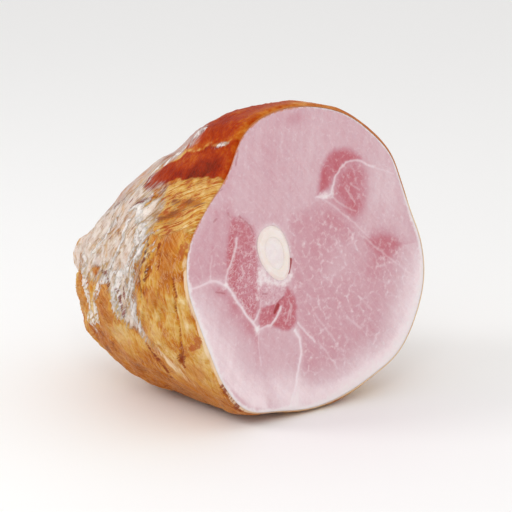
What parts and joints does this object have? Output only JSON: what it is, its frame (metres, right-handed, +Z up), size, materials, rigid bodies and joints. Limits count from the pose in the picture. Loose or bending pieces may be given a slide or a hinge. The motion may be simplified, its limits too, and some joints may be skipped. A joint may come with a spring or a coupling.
{
  "type": "bone-in ham",
  "caption": "Smoked bone-in half ham resting on its side, with a flat cut across the thigh that shows pink meat and the round bone.",
  "frame": {"origin": "on the surface the ham rests on, under the middle of its bounding box", "axes": "+Z up from the resting surface, -Y out of the flat cut face, +Y along the leg towards the shank end, +X to the right of someone facing the cut"},
  "size_m": [0.2082, 0.185, 0.2125],
  "materials": {
    "meat": "moist pink cured meat on the cut, glossy golden-brown smoked rind round the rest",
    "bone": "cream bone, sawn smooth",
    "marrow": "pale soft marrow, slightly moist"
  },
  "bodies": {
    "root": {"ham_meat": "meat", "thigh_bone": "bone", "bone_marrow": "marrow"}
  },
  "joints": []
}
